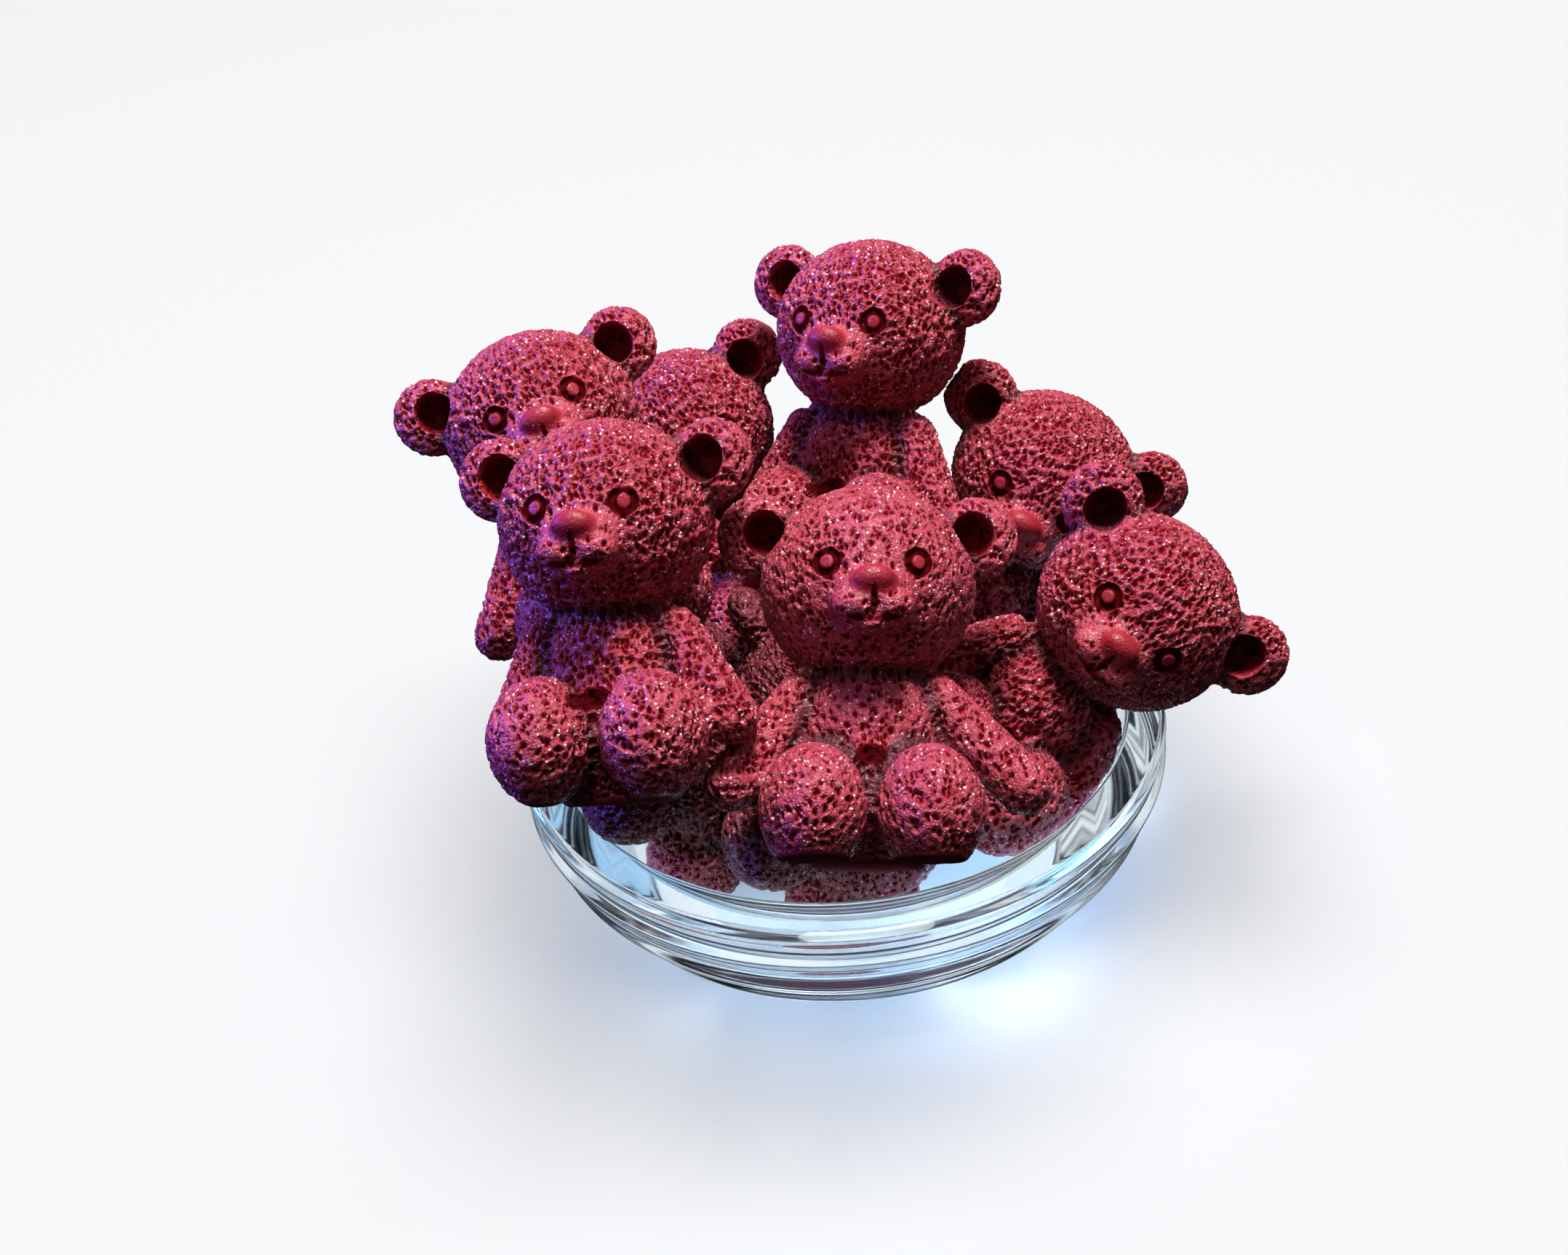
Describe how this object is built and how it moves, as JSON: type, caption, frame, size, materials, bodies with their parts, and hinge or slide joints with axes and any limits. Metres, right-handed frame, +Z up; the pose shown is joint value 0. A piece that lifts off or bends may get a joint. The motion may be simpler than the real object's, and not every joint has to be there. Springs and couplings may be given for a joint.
{
  "type": "bowl of gummy bears",
  "caption": "Small thick glass dish heaped with sitting sugared gummy bears, burgundy red, with round ears and curly pitted fur, one part at rest",
  "frame": {"origin": "the middle of the dish's flat underside", "axes": "+Z up; +Y away from the side that the bears face; +X to the right seen from that side"},
  "size_m": [0.1045, 0.0934, 0.0697],
  "materials": {
    "glass": "clear polished",
    "gummy": "waxy sugared jelly"
  },
  "bodies": {
    "root": {"dish": "glass", "bear_top": "gummy", "bear_front": "gummy", "bear_front_left": "gummy", "bear_left": "gummy", "bear_right": "gummy", "bear_back_right": "gummy", "bear_back_left": "gummy", "bear_under_front": "gummy", "bear_under_left": "gummy"}
  },
  "joints": []
}
